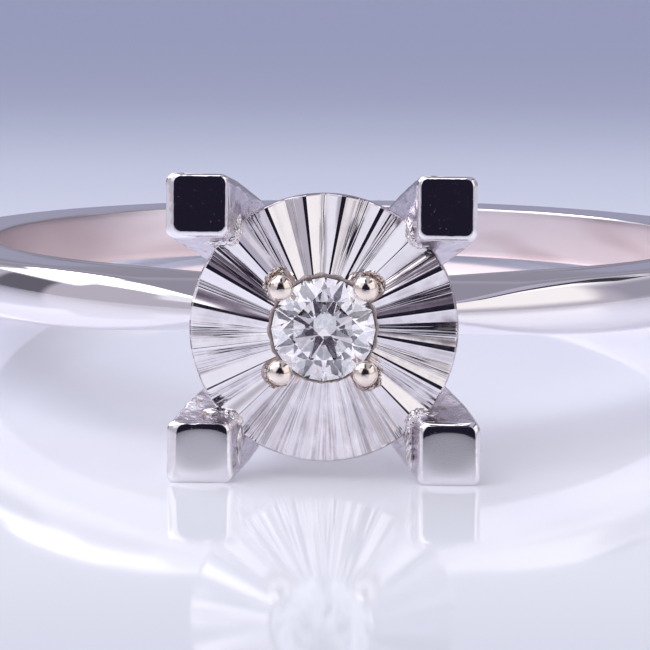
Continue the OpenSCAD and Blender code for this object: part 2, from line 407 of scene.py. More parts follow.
seat_finish, tree = new_finish("matt_seat", SEAT_MEAN, 0.55)
turned = patchy(tree, 0.08, 0.3, 0.7, 0, 1.0, detail=6)
feed(tree, Base_Color=blend(tree, turned, SEAT_DARK, SEAT_LIGHT))
bump(tree, grain(tree, 0.04, detail=4), 0.006, 0.6)

# %% [markdown]
# A brilliant is all refraction: light enters through the crown, bounces off the pavilion and
# comes back. So its finish is clear glass with the stone's high index, and the unsmoothed
# facets do the rest.

# %% Finish of the stone
stone_finish, tree = new_finish("brilliant", GLASS, 0.0, metallic=0.0)
feed(tree, IOR=2.417, Transmission_Weight=1.0)

# %% [markdown]
# The band's cross-section changes all the way round. Its outer face is domed, half an
# ellipse across the width, and its sides are pinched in towards the head. At each turn the
# half height of the section is the smaller of two curves, the side outline and the dome. A
# smooth minimum of the two leaves the soft edge that carries the long bright streak.

# %% Band
FINGER_R = 8.5
BAND_R = 10.15
CROWN_H = 0.45
CROWN_HALF = 0.8
INNER_EDGE = 0.07
SIDE_AT = np.array([-10.45, -9.75, -9.5, -9.2, -8.7, -8.1, -7.55, -7.1, 0.0, 10.45])
SIDE_HALF = np.array([0.13, 0.21, 0.34, 0.475, 0.62, 0.71, 0.745, 0.75, 0.685, 0.6])
SIDE_SMOOTH = 0.2
SIDE_STEP = 0.02
FOLD_SHARE, FOLD_LEAST = 0.34, 0.17
FLAT_ROWS, EDGE_ROWS, CROWN_ROWS = 5, 6, 45
BAND_TURNS = 640


def side_half(y):
    """Half width of the band at y behind the finger axis: the rows joined and smoothed."""
    fine = np.arange(-11.5, 11.5, SIDE_STEP)
    raw = np.interp(fine, SIDE_AT, SIDE_HALF)
    reach = np.arange(-0.5, 0.5, SIDE_STEP)
    margin = len(reach) // 2
    weight = np.exp(-0.5 * (reach / SIDE_SMOOTH) ** 2)
    smoothed = np.convolve(np.pad(raw, margin, mode="edge"), weight / weight.sum(), mode="same")
    return np.interp(y, fine, smoothed[margin:-margin])


def soft_min(a, b, k):
    """The smaller of a and b, rounded where they differ by less than k."""
    h = np.clip(0.5 + 0.5 * (b - a) / k, 0, 1)
    return b * (1 - h) + a * h - k * h * (1 - h)


def band_section(turn):
    """Radius and height of half a section at each turn, from the inner face to the crown."""
    inner = np.arange(FLAT_ROWS) / FLAT_ROWS
    arc = np.linspace(0, pi / 2, EDGE_ROWS)
    over = np.sin(np.linspace(0, pi / 2, CROWN_ROWS + 1)[1:])
    edge_end = FINGER_R + INNER_EDGE
    r = np.concatenate([np.full(FLAT_ROWS, FINGER_R), edge_end - INNER_EDGE * np.cos(arc),
                        edge_end + (BAND_R - edge_end) * over])
    r = np.broadcast_to(r, (len(turn), len(r)))
    side = side_half(-r * np.cos(turn)[:, None])
    dome = CROWN_HALF * np.sqrt(np.clip(1 - (np.maximum(r - BAND_R + CROWN_H, 0) / CROWN_H) ** 2, 0, 1))
    height = np.maximum(soft_min(side, dome, np.maximum(FOLD_SHARE * side, FOLD_LEAST)), 0)
    crown_from = FLAT_ROWS + EDGE_ROWS
    edge = side[:, FLAT_ROWS:crown_from] - INNER_EDGE * (1 - np.sin(arc))
    height = np.concatenate([edge[:, :1] * inner, edge, height[:, crown_from:]], axis=1)
    height[:, -1] = 0
    return r, height


turn = np.linspace(0, 2 * pi, BAND_TURNS, endpoint=False)
r, height = band_section(turn)
r = np.concatenate([r, r[:, -2:0:-1]], axis=1)
height = np.concatenate([height, -height[:, -2:0:-1]], axis=1)
band_points = np.stack([r * np.sin(turn)[:, None], -r * np.cos(turn)[:, None], height], axis=-1)
band = make("band", lay_down(band_points), [weave(*r.shape)], [polished], crease=50,
            marks={"inside": r < FINGER_R + 0.02})

# %% [markdown]
# Each corner post is a rounded square whose sides lean in towards the band. The top was
# polished by hand, so it is not quite flat and its edges are rounded unevenly. Each top is
# tilted by a degree or so, which decides whether it mirrors the dark above the horizon or
# the pale table below it. The sides stayed nearly as cast, and were bent a little sideways
# when the plate was soldered in.

# %% Corner posts: how the sides lean
HEAD_HALF = 3.54
POST_W = 1.43
POST_H = 0.45
POST_EDGE = 0.13
POST_CORNER = 0.2
POST_DEPTH = 3.35
BASE_HALF = 0.72
INNER_LEAN = 0.45
OUTER_LEAN = 0.38
OVERLAP = 0.05
HOLE_HALF = 0.66
BEVEL = 0.5
BEND = 0.05
BOX_ROUND, BOX_FLAT = 9, 16
TOP_ROWS, EDGE_TOP_ROWS, SIDE_ROWS = 16, 12, 59


def lean(depth, slope, total):
    """How far a side has moved in at a depth: at a slope first, then on a parabola to the total."""
    e = np.maximum(depth - POST_EDGE, 0)
    reach = POST_DEPTH - POST_EDGE
    return slope * e + (total - slope * reach) * (e / reach) ** 2


def inner_side(depth):
    """Distance of a post's inner sides from the plate's axes."""
    return HEAD_HALF - POST_W - lean(depth, INNER_LEAN, HEAD_HALF - POST_W + OVERLAP)


def outer_side(depth):
    """Distance of a post's outer sides from the plate's axes."""
    return HEAD_HALF - lean(depth, OUTER_LEAN, HEAD_HALF - BASE_HALF)


def rounded_box(low_x, high_x, low_y, high_y, corner):
    """Points round a box with rounded corners, from its high corner on."""
    quarter = np.linspace(0, pi / 2, BOX_ROUND)
    x, y = (low_x + corner, high_x - corner), (low_y + corner, high_y - corner)
    middles = ((x[1], y[1]), (x[0], y[1]), (x[0], y[0]), (x[1], y[0]))
    arcs = [polar(corner, quarter + q * pi / 2, 0)[:, :2] + middles[q] for q in range(4)]
    share = np.linspace(0, 1, BOX_FLAT)[1:-1, None]
    flats = [a[-1] + (b[0] - a[-1]) * share for a, b in zip(arcs, arcs[1:] + arcs[:1])]
    return np.concatenate([part for pair in zip(arcs, flats) for part in pair])


# %% Corner posts: one post
def corner_post(right, upper, edges, grow, tilt, pillow, seed):
    """One post. right and upper are 1 or -1, and say which corner it stands at.

    edges are the widths of the rounding at the left, right, lower and upper side of the top,
    grow how far each of these sides stands out from its CAD place, tilt the slope of the
    top to the right and up, and pillow how much its middle stands out.
    """
    rng = np.random.default_rng(seed)
    # made in its own quarter and mirrored later, so left and right may change places
    (x_low, x_high), (y_low, y_high) = edges[:2][::right], edges[2:][::upper]
    (x_less, x_more), (y_less, y_more) = grow[:2][::right], grow[2:][::upper]
    low, high = HEAD_HALF - POST_W, HEAD_HALF
    box = np.array([low + x_low, high - x_high, low + y_low, high - y_high])
    flat = rounded_box(*box, POST_CORNER * 0.8)
    middle, half = (box[::2] + box[1::2]) / 2, (box[1::2] - box[::2]) / 2
    # the border of the polished top wavers a little, where the cloth went over the edge
    flat = middle + (flat - middle) * (1 + 0.01 * rng.uniform(-1, 1, (len(flat), 1)))
    slope = np.array([tilt[0] * right, tilt[1] * upper])
    rings, polish = [], []

    def add(outline, height, shine):
        rings.append(np.column_stack([outline, np.broadcast_to(height, len(outline))]))
        polish.append(np.full(len(outline), shine))

    for share in np.linspace(0.06, 1, TOP_ROWS):
        away = share * (flat - middle)
        u, v = (away / half).T
        q = u ** 2 + v ** 2
        drop = pillow * (0.1 * q + 0.3 * q ** 3 + 0.6 * (u ** 8 + v ** 8))
        brow = POST_H - drop - away @ slope
        add(middle + away, brow, 1.0)
    outer = rounded_box(low, high, low, high, POST_CORNER)
    for t in np.sin(np.linspace(0, pi / 2, EDGE_TOP_ROWS + 1)[1:]):
        fall = BEVEL * t + (1 - BEVEL) * (1 - sqrt(max(1 - t * t, 0)))
        level = brow * (1 - fall) + (POST_H - POST_EDGE) * fall
        add(flat + (outer - flat) * t, level, 1.0 if t < 0.97 else 0.5)
    for depth in np.linspace(POST_EDGE, POST_DEPTH, SIDE_ROWS + 1)[1:]:
        corner = POST_CORNER * (1 - 0.6 * depth / POST_DEPTH)
        add(rounded_box(*[inner_side(depth), outer_side(depth)] * 2, corner), POST_H - depth, 0.0)
    # the foot ends in the band, just short of the finger hole
    foot = rounded_box(-OVERLAP, HOLE_HALF, -OVERLAP, HOLE_HALF, POST_CORNER * 0.4)
    hole = np.sqrt((FINGER_R + 0.004) ** 2 - foot[:, 0] ** 2) - PLATE_Y
    for share in (0.5, 1.0):
        add(foot, (POST_H - POST_DEPTH) * (1 - share) + hole * share, 0.0)
    rings, polish = np.array(rings), np.array(polish)
    # outer sides are polished too, though less than the top
    outward = np.maximum(rings[..., 0], rings[..., 1]) > outer_side(POST_H - rings[..., 2]) - 0.1
    polish = np.where((polish < 0.4) & outward, 0.6, polish)
    # cast sides have long soft waves that fade out at the polished top
    phase = rng.uniform(0, 6.28, (6, 3))
    x, y, z = np.moveaxis(rings, -1, 0)
    uneven = sum(np.sin((4 + 3 * k) * x + phase[k, 0]) * np.sin((4 + 3 * k) * y + phase[k, 1])
                 * np.sin((3 + 3 * k) * z + phase[k, 2]) / (1 + 0.6 * k) for k in range(6)) * 0.022
    away = rings[:, :, :2] - rings[:, :, :2].mean(axis=1, keepdims=True)
    away = away / np.linalg.norm(away, axis=-1, keepdims=True)
    rings[:, :, :2] += away * (uneven * (1 - polish))[..., None]
    depth = POST_H - rings[..., 2]
    bend = BEND * np.clip(depth - POST_EDGE, 0, None) * np.exp(-(depth / 1.6) ** 2)
    for axis, less, more in ((0, x_less, x_more), (1, y_less, y_more)):
        share = (rings[..., axis] - inner_side(depth)) / (outer_side(depth) - inner_side(depth))
        rings[..., axis] += (share * more - (1 - share) * less) * np.exp(-(depth / 1.2) ** 2)
    points = np.stack([rings[..., 0] * right + bend, rings[..., 1] * upper, rings[..., 2]], axis=-1)
    tips = [points[0].mean(axis=0), points[-1].mean(axis=0)]
    name = f"post_{'upper' if upper > 0 else 'lower'}_{'right' if right > 0 else 'left'}"
    return make(name, on_head(np.concatenate([points.reshape(-1, 3), tips])), capped(*points.shape[:2]),
                [post_finish], crease=45, marks={"polish": np.append(polish.ravel(), [1.0, 0.0])})


# %% Corner posts: the four of them
POSTS = (
    # right, upper, edges and growth at the left, right, lower and upper side, tilt, pillow
    (1, 1, (0.1, 0.09, 0.11, 0.045), (0.01, -0.05, 0.07, -0.01), (0, 0.03), 0.0022),
    (-1, 1, (0.175, 0.08, 0.125, 0.045), (0.05, -0.035, 0.045, 0), (0, 0.03), 0.0028),
    (-1, -1, (0.19, 0.1, 0.17, 0.05), (0, 0.06, 0, -0.025), (0, -0.048), 0.014),
    (1, -1, (0.1, 0.09, 0.17, 0.09), (-0.065, 0.06, 0, 0.03), (0, -0.031), 0.013),
)
posts = [corner_post(*row, 30 + k) for k, row in enumerate(POSTS)]

# %% [markdown]
# The plate makes a small stone look bigger: twenty flutes, cut with a bright graver, throw
# light in every direction. A thin strip of the uncut cone, a land, is left between two
# flutes, and mirrors the dark behind the camera. The walls next to it are clean cuts, but
# along the bottom of a flute the graver chattered and left streaks. So the plate is a cone,
# and across each flute its height is a sum of slopes: down one wall, at random over the
# streaks, and up the other. Slope times radius keeps every streak straight.

# %% Fluted plate: sizes and lands
PLATE_R = 3.07
PLATE_T = 0.36
PLATE_RISE = 0.26
RIM_ROUND = 0.05
BACK_HOLE_R = 1.275
PLATE_ROWS, SEAT_ROWS, RIM_ROWS = 64, 5, 4
STONE_R = 1.19
SEAT_R = STONE_R + 0.1
SEAT_SHIFT = np.array([0.0, -0.01])
OPEN_R = 1.235
OPEN_SHIFT = np.array([0.0, 0.02])
POCKET_R = 0.315
POCKET_AT = 1.48
DIAGONALS = np.radians([45, 135, 225, 315])
WALL_SLOPE = 0.38
WALL_STEPS = 6
STRIPS = 24
DARK_SHARE = 0.35
SKEW, SKEW_NONE_R = 0.086, 2.5
LANDS = np.array([
    # turn in degrees, width in degrees, slope across; then the flute after it: where its streaks
    # start and end, how uneven they are, how steep its walls are and how dull, which also paints them darker
    (10.6, 2.6, 0, 0.28, 0.6, 0.9, 1, 0.5),
    (28, 1.9, 0, 0.06, 0.52, 0.9, 1, 0.3),
    (46.5, 0.5, 0, 0.46, 0.85, 0.8, 1, 0),
    (64.7, 1.9, 0, 0.3, 0.7, 0.5, 1, 0.2),
    (81.9, 2, 0, 0.42, 0.62, 0.3, 1.13, 0.1),
    (99.1, 1.7, 0, 0.25, 0.5, 0.7, 1, 0.1),
    (116.4, 1.6, 0, 0.18, 0.58, 0.7, 1.12, 0.1),
    (135, 1.1, 0, 0.36, 0.9, 1, 1, 0),
    (152.7, 2, 0, 0.36, 0.6, 0.5, 1, 0),
    (170.5, 1.7, 0, 0.35, 0.8, 0.6, 1, 0.4),
    (190, 0.3, 0.06, 0.08, 0.62, 0.7, 1, 0.1),
    (208.8, 0.8, 0.12, 0.08, 0.56, 0.9, 0.93, 0.1),
    (226.4, 0.6, 0.19, 0.3, 0.9, 0.9, 1, 0.3),
    (244, 0.8, 0.34, 0.25, 0.92, 0.6, 1, 0.4),
    (262, 0.3, 0, 0.12, 0.85, 0.6, 1, 0.3),
    (280, 0.3, 0, 0.15, 0.88, 0.6, 1, 0.6),
    (297.5, 1.2, -0.34, 0.08, 0.6, 0.8, 1, 0.3),
    (315.5, 1.1, -0.19, 0.38, 0.9, 0.9, 1, 0.1),
    (333.7, 1.6, -0.11, 0.22, 0.66, 0.7, 0.92, 0.4),
    (351.6, 2.3, -0.05, 0.2, 0.66, 0.9, 0.9, 0.7),
])


def towards(angle, far=1.0):
    """The point at a turn and a distance from the plate's middle."""
    return far * np.array([cos(angle), sin(angle)])


def reach_to_circle(angle, centre, radius):
    """How far a ray from the middle goes before it leaves a circle, or 0 where it misses it."""
    along = centre[0] * np.cos(angle) + centre[1] * np.sin(angle)
    inside = radius ** 2 - centre[0] ** 2 - centre[1] ** 2 + along ** 2
    hit = (inside >= 0) & ((along > 0) | (inside > along ** 2))
    return np.where(hit, along + np.sqrt(np.maximum(inside, 0)), 0)


# %% Fluted plate: turns and heights across the flutes
rng = np.random.default_rng(11)


def across_flutes():
    """Turn, height per millimetre of radius, and wear, at every column of the grid."""
    turns, heights, wear_and_dark_shares = [], [], []
    for k, (at, wide, slope, low, high, uneven, steep, dull) in enumerate(LANDS):
        after = LANDS[(k + 1) % len(LANDS)]
        begin, end = at + wide / 2, after[0] - after[1] / 2 + (360 if k == len(LANDS) - 1 else 0)
        # the slopes over the streaks are shifted so that the flute ends at the next land
        first, last = slope * radians(wide) / 2, -after[2] * radians(after[1]) / 2
        span = radians(end - begin)
        fall = WALL_SLOPE * steep * span * (1 - 0.04 * rng.random())
        wave = 1 + 0.2 * np.sin(np.linspace(0, 3, WALL_STEPS) * rng.uniform(0.6, 1.6) + rng.uniform(0, 6.28))
        wall = np.cumsum(wave) / wave.sum()
        widths = rng.uniform(0.35, 1.6, STRIPS)
        edges = np.concatenate([[0], np.cumsum(widths)]) / widths.sum()
        middle = (last - first + fall * (low - (1 - high))) / (high - low)
        lean = np.where(rng.random(STRIPS) < 0.5 + 0.5 * middle / fall, 1.0, -1.0)
        slopes = fall * lean * rng.uniform(0.7, 1.15, STRIPS)
        slopes = np.where(rng.random(STRIPS) < 0.4 * uneven, slopes * rng.uniform(0, 0.5, STRIPS), slopes)
        shares = np.diff(edges)
        for _ in range(3):
            slopes = np.clip(slopes + middle - (slopes * shares).sum(), -1.3 * fall, 1.3 * fall)
        streaks = first - fall * low + np.concatenate([[0], np.cumsum(slopes * shares)]) * (high - low)
        steps = np.arange(1, WALL_STEPS) / WALL_STEPS
        places = [[0], low * steps, low + (high - low) * edges, high + (1 - high) * steps]
        turns += [[radians(at - wide / 2)], radians(begin) + span * np.concatenate(places)]
        heights += [[-first], [first], first - fall * low * wall[:-1], streaks,
                    last - fall * (1 - high) * (1 - wall[:-1])]
        # some streaks get the full mark: painted darker, for the dark they would mirror, and duller
        dark = np.where(rng.random(STRIPS + 1) < DARK_SHARE, 1.0, rng.uniform(0, 0.5, STRIPS + 1))
        wear_and_dark_shares += [[0], dull * rng.uniform(0.5, 1.4, WALL_STEPS), dark * (0.5 + 0.5 * uneven),
                  dull * rng.uniform(0.5, 1.4, WALL_STEPS - 1)]
    return np.concatenate(turns), np.concatenate(heights), np.concatenate(wear_and_dark_shares)


rim_turn, rim_height, rim_wear_and_dark = across_flutes()
hub_turn, hub_height, hub_wear_and_dark = across_flutes()
columns = len(rim_turn)

# %% Fluted plate: its outline round the stone
valley = np.clip(-hub_height / 0.04, 0, 1)
opening_turn = hub_turn + SKEW / SEAT_R
opening = reach_to_circle(opening_turn, OPEN_SHIFT, OPEN_R) + 0.04 * valley
opening += 0.006 * (1 + np.sin(7 * opening_turn + 1) * np.sin(11 * opening_turn))
for d in DIAGONALS:
    pocket = reach_to_circle(opening_turn, SEAT_SHIFT + towards(d, POCKET_AT), POCKET_R)
    opening = np.maximum(opening, pocket)

# %% Fluted plate: the whole surface
top_r = opening + np.linspace(0, 1, PLATE_ROWS)[:, None] * (PLATE_R - RIM_ROUND - opening)
blend_out = 0.5 - 0.5 * np.cos(np.clip((top_r - 1.3) / 1.7, 0, 1) * pi)


def across(hub, rim):
    """From the values at the hub to those at the rim, over the whole top."""
    return hub * (1 - blend_out) + rim * blend_out


top_turn = across(hub_turn, rim_turn) + SKEW * (1 / top_r - 1 / SKEW_NONE_R)
cone = PLATE_RISE * (1 - (top_r - SEAT_R) / (PLATE_R - SEAT_R))
top_z = cone + top_r * across(hub_height, rim_height)
# over the rim, across the back, and up the seat: a bevel from the girdle to the plate's edge
quarter = np.radians([30, 60, 90])[:, None]
seat_edge = reach_to_circle(opening_turn, SEAT_SHIFT, STONE_R + 0.01)
outline = [
    *zip(PLATE_R - RIM_ROUND * (1 - np.sin(quarter)), top_z[-1] - RIM_ROUND * (1 - np.cos(quarter))),
    (PLATE_R, RIM_ROUND - PLATE_T), (PLATE_R - RIM_ROUND, -PLATE_T), (BACK_HOLE_R, -PLATE_T),
    (BACK_HOLE_R, 0.085), (seat_edge, 0.098), (seat_edge, 0.125),
    ((seat_edge + opening) / 2, (0.13 + top_z[0]) / 2), (opening - 0.006, top_z[0] - 0.02),
]
beyond = [np.array([np.broadcast_to(pair[k], columns) for pair in outline]) for k in (0, 1)]
plate_r, plate_z = np.concatenate([top_r, beyond[0]]), np.concatenate([top_z, beyond[1]])
ends = [top_turn[-1:]] * (len(outline) - SEAT_ROWS) + [top_turn[:1]] * SEAT_ROWS
# the rounded rim gets a painted dark line, a dark reflection painted into its colour, and is duller
wear_and_dark_shares = np.concatenate([across(hub_wear_and_dark, rim_wear_and_dark), np.full((RIM_ROWS, columns), 0.9),
                        np.zeros((len(outline) - RIM_ROWS, columns))])
in_seat = np.repeat(np.arange(len(plate_r)) >= len(plate_r) - SEAT_ROWS, columns)
points = on_head(polar(plate_r, np.concatenate([top_turn, *ends]), plate_z))
plate = make("fluted_plate", points, [weave(*plate_r.shape)], [bright_cut, seat_finish], crease=6,
             marks={"wear_and_dark_mark": wear_and_dark_shares}, slots=in_seat)

# %% [markdown]
# A lathe turns a profile round an axis. The collet and the claws with their balls are turned
# shapes. The balls were pushed over the stone's edge, so each is slightly out of round.

# %% Turned shapes
def lathe(profile, steps, dent=0.0, seed=0, closed=False):
    """Points of a profile of (radius, height) turned round Z, and its faces.

    An open profile starts and ends on the axis, and its two ends become single points.
    A dent moves points in and out by a few slow waves.
    """
    profile = np.asarray(profile, float)
    angle = np.linspace(0, 2 * pi, steps, endpoint=False)
    body = profile if closed else profile[1:-1]
    r, z = body[:, :1], body[:, 1:]
    phase = np.random.default_rng(seed).uniform(0, 6.28, 4)
    wave = sum(np.sin((k + 2) * angle[None] + phase[k] + z * (9 + 4 * k)) for k in range(4)) * dent
    points = polar(r + wave * (r > 0), angle, z).reshape(-1, 3)
    if closed:
        return points, [weave(len(body), steps)]
    tips = [[0, 0, profile[0, 1]], [0, 0, profile[-1, 1]]]
    return np.concatenate([points, tips]), capped(len(body), steps)


# %% [markdown]
# The collet is the small ring behind the plate that the stone sits in. Only its rim shows,
# as a brownish line round the girdle.

# %% Collet
GAP = 0.03
GIRDLE_H = 0.17
GIRDLE_T = 0.07
PAVILION_TURN = radians(40.8)
PAVILION = tan(PAVILION_TURN)
FLANGE_R, FOOT_R, FOOT_T, HOLE_R = 1.66, 1.57, 0.42, 0.6
girdle_low = GIRDLE_H - GIRDLE_T
wall = STONE_R + GAP / sin(PAVILION_TURN)
collet_top = girdle_low - 0.02
collet_r = SEAT_R - GAP
flange_top = -PLATE_T - GAP
foot_z = flange_top - FOOT_T
collet_edge = wall - (girdle_low - collet_top) / PAVILION


def cone_z(r):
    """Height of the collet's cone, which keeps the gap to the stone's pavilion."""
    return girdle_low - (wall - r) * PAVILION


collet_profile = [
    (collet_edge, collet_top - 0.006), (collet_edge + 0.006, collet_top), (collet_r - 0.012, collet_top),
    (collet_r, collet_top - 0.012), (collet_r, flange_top + 0.02), (collet_r + 0.02, flange_top),
    (FLANGE_R - 0.015, flange_top), (FLANGE_R, flange_top - 0.015), (FOOT_R, foot_z + 0.03),
    (FOOT_R - 0.03, foot_z), (HOLE_R + 0.02, foot_z), (HOLE_R, foot_z + 0.02),
    (HOLE_R, cone_z(HOLE_R) - 0.02), (HOLE_R + 0.01, cone_z(HOLE_R + 0.01)),
]
points, groups = lathe(collet_profile, 160, closed=True)
points[:, :2] += SEAT_SHIFT
collet = make("collet_ring", on_head(points), groups, [seat_finish], crease=35)

# %% Claws with their balls
BEAD_AT = 1.37
BEAD_D = 0.59
BEAD_H = 0.45
CLAW_D = 0.42
CLAW_AT = BEAD_AT + 0.06
NECK_TURN = radians(142)
FLAT_FRONT, FLAT_BACK = 0.72, 0.96


def ball_profile():
    """A ball, flattened in front, that runs through a small neck into the claw wire."""
    tilt = np.linspace(0, NECK_TURN, 42)
    high = np.where(tilt < pi / 2, FLAT_FRONT, FLAT_BACK) * np.cos(tilt)
    circle = BEAD_D / 2 * np.column_stack([np.sin(tilt), high]) + [0, BEAD_H]
    wire_r, low = CLAW_D / 2, flange_top - 0.2
    wire = [(wire_r, circle[-1, 1] - 0.07), (wire_r, low + 0.02), (wire_r - 0.03, low), (0, low)]
    return np.vstack([circle, wire])


claws = []
for k, d in enumerate(DIAGONALS):
    points, groups = lathe(ball_profile(), 72, dent=0.0022, seed=50 + k)
    # the wire stands a little further out than the ball that was bent over the stone
    out = BEAD_AT + np.clip((BEAD_H - points[:, 2:]) / 0.5, 0, 1) * (CLAW_AT - BEAD_AT)
    points[:, :2] += SEAT_SHIFT + out * towards(d)
    claws.append(make(f"claw_{k + 1}", on_head(points), groups, [claw_finish], crease=60))

# %% [markdown]
# Round each claw, gold that flowed when the claws were fixed fills the pocket in the plate: a
# rough, brownish collar with a lip. It is narrow towards the stone, to stay off the glass.

# %% Collars round the claws
COLLAR_TURN = 160
COLLAR_STEPS = 48
COLLAR_INNER_R = 0.12
COLLAR_LOW, COLLAR_TOP = -0.05, 0.18
# radius next to the stone, and how much more it is on the far side of the claw
COLLAR_R, COLLAR_WIDER = 0.18, 0.185


def collar(name, d, seed):
    """A lumpy collar, folded like a skin that froze."""
    rng = np.random.default_rng(seed)
    around = np.linspace(0, 2 * pi, COLLAR_TURN, endpoint=False)[:, None]
    phase = rng.uniform(0, 6.28, 16)
    lumps = sum(np.sin((k + 2) * around + phase[k]) / (k + 2) ** 0.4 for k in range(6)) * 0.4
    side = np.clip((np.cos(around) + 0.5) / 0.9, 0, 1)
    ragged = sum(np.sin((9 + 4 * k) * around + phase[10 + k]) for k in range(4)) * 0.008
    reach = COLLAR_R + COLLAR_WIDER * side ** 2 * (3 - 2 * side) + 0.05 * lumps + ragged * side
    share = np.linspace(0, 1, COLLAR_STEPS)[None]
    radius = COLLAR_INNER_R + (reach - COLLAR_INNER_R) * share
    grit = sum(np.sin((7 + 5 * k) * around + (9 + 7 * k) * share * (1 + 0.3 * lumps) + phase[6 + k])
               for k in range(6)) * 0.018
    lip = np.exp(-((share - 0.64 - 0.08 * lumps) / 0.14) ** 2) * (0.06 + 0.07 * lumps)
    wave = np.sin(2 * pi * (2.9 * share + 0.8 * lumps + 0.12 * np.sin(5 * around + phase[15])))
    folds = 0.034 * np.abs(wave) ** 0.7 * (0.5 + 0.5 * np.sin(3 * around + phase[14]) ** 2)
    top = COLLAR_TOP + lip + grit + folds - 0.16 * np.clip((share - 0.86) / 0.14, 0, 1) ** 2
    rows_r = np.concatenate([radius, radius[:, ::-1]], axis=1)
    rows_z = np.concatenate([top, np.full_like(top, COLLAR_LOW)], axis=1)
    middle = SEAT_SHIFT + towards(d, POCKET_AT - 0.03)
    points = polar(rows_r, around + d, rows_z) + [*middle, 0]
    return make(name, on_head(points), [weave(*rows_r.shape)], [collar_finish], crease=70)


collars = [collar(f"collar_{k + 1}", d, 70 + k) for k, d in enumerate(DIAGONALS)]

# %% [markdown]
# The solder joins the plate's rim to each post, left as it froze: a rough fillet in the
# inner corner of the post. Each bead is a ball pushed in and out by waves of several sizes.

# %% Solder
LUMP_ROWS = 70
LUMP_COLUMNS = 120
LUMP_ROUGH = 0.15


def lump(name, place, size, turn, seed):
    """A lumpy ball of the given half sizes at a place, its first axis at a turn."""
    rng = np.random.default_rng(seed)
    tilt = np.linspace(0, pi, LUMP_ROWS + 2)[1:-1, None]
    around = np.linspace(0, 2 * pi, LUMP_COLUMNS, endpoint=False)
    unit = polar(np.sin(tilt), around, np.cos(tilt)).reshape(-1, 3)
    unit = np.concatenate([unit, [[0, 0, 1.0], [0, 0, -1.0]]])
    push = np.zeros(len(unit))
    for k in range(14):
        way = rng.normal(size=3)
        pace = 2.5 * 1.2 ** k
        push += np.sin(pace * unit @ (way / np.linalg.norm(way)) + rng.uniform(0, 6.28)) / (1 + 0.35 * k)
    x, y, z = (unit * (1 + LUMP_ROUGH * push[:, None] * 0.5) * size).T
    c, s = cos(turn), sin(turn)
    points = np.column_stack([x * c - y * s, x * s + y * c, z]) + place
    return make(name, on_head(points), capped(LUMP_ROWS, LUMP_COLUMNS), [solder_finish], crease=80)


# middle and half size of the fillets beside and across an upper (1) and a lower post (-1)
FILLETS = {
    "beside": {1: ((1.99, 2.22), (0.14, 0.36)), -1: ((1.97, 2.6), (0.13, 0.62))},
    "across": {1: ((2.42, 1.96), (0.46, 0.12)), -1: ((2.36, 1.98), (0.36, 0.12))},
}
CORNER_AT = 2.93
solder = []
for k, d in enumerate(DIAGONALS):
    ways = np.sign(towards(d))
    corner = [*towards(d, CORNER_AT), -0.08]
    solder.append(lump(f"solder_{k + 1}_corner", corner, (0.17, 0.26, 0.26), d, 90 + k))
    for step, (label, places) in enumerate(FILLETS.items()):
        middle, half = places[int(ways[1])]
        solder.append(lump(f"solder_{k + 1}_{label}", [*(middle * ways), -0.14], (*half, 0.24), 0,
                           100 + 10 * step + k))

# %% [markdown]
# The stone is a round brilliant with 57 facets between six rings of corners: the table,
# eight stars, eight kites, sixteen upper halves, the girdle, sixteen lower halves and eight
# mains down to the point.

# %% Stone
HALF_EIGHTH = cos(radians(22.5))
CROWN = tan(radians(34.5))
TABLE_R = 0.56 * STONE_R / HALF_EIGHTH
STAR_R = (TABLE_R * HALF_EIGHTH + STONE_R) / 2
KEEL_R = 0.24 * STONE_R
crown_top = (STONE_R - TABLE_R) * CROWN
star_h = crown_top - (STAR_R * HALF_EIGHTH - TABLE_R) * CROWN
culet_h = -GIRDLE_T - STONE_R * PAVILION
keel_h = culet_h + KEEL_R * HALF_EIGHTH * PAVILION


def corners(count, radius, height, start):
    """A ring of corners at one height."""
    return polar(radius, np.radians(start + 360 * np.arange(count) / count), height)


stone_points = np.concatenate([
    corners(8, TABLE_R, crown_top, 22.5), corners(8, STAR_R, star_h, 45), corners(16, STONE_R, 0, 22.5),
    corners(16, STONE_R, -GIRDLE_T, 22.5), corners(8, KEEL_R, keel_h, 45), [[0, 0, culet_h]],
])
i = np.arange(8)
STARS, GIRDLE, LOWER, KEEL, CULET = 8, 16, 32, 48, 56
here, other = GIRDLE + 2 * i, GIRDLE + 2 * i + 1
onward = GIRDLE + 2 * ((i + 1) % 8)
down = LOWER - GIRDLE
last_star, last_keel = STARS + (i + 7) % 8, KEEL + (i + 7) % 8
facets = [
    (i, (i + 1) % 8, STARS + i), (i, STARS + i, here, last_star), (STARS + i, other, here),
    (STARS + i, onward, other), (here, other, other + down, here + down),
    (other, onward, onward + down, other + down), (KEEL + i, here + down, other + down),
    (KEEL + i, other + down, onward + down), (0 * i + CULET, last_keel, here + down, KEEL + i),
]
stone_groups = [np.arange(8)[None, ::-1], *map(np.column_stack, facets)]
stone_points += [*SEAT_SHIFT, GIRDLE_H]
stone = make("brilliant", on_head(stone_points), stone_groups, [stone_finish], smooth=False)

# %% [markdown]
# The pieces take the places of the CAD solids. The soldered mounting is one solid there.

# %% Which piece stands for which solid
for piece in [band, *posts, plate, *solder]:
    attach(piece, "root")
    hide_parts("ring_mounting")
for piece in [collet, *claws, *collars]:
    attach(piece, "root")
    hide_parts("collet")
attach(stone, "root")
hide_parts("stone")

# %% [markdown]
# The table is a pale glossy sheet whose colour paints light and shade: it is lightest just in
# front of the head, darker towards the camera, and turns blue-grey towards the back as painted
# shade. The table also glows a little, painted light that fills the shade under the ring. Inside
# the finger hole the curved gold throws a warm glow on the table, and a painted patch of light stands for
# it.

# %% Table
HALF_TABLE = 0.6
TABLE_FROM_TO = (-0.026, 0.06)
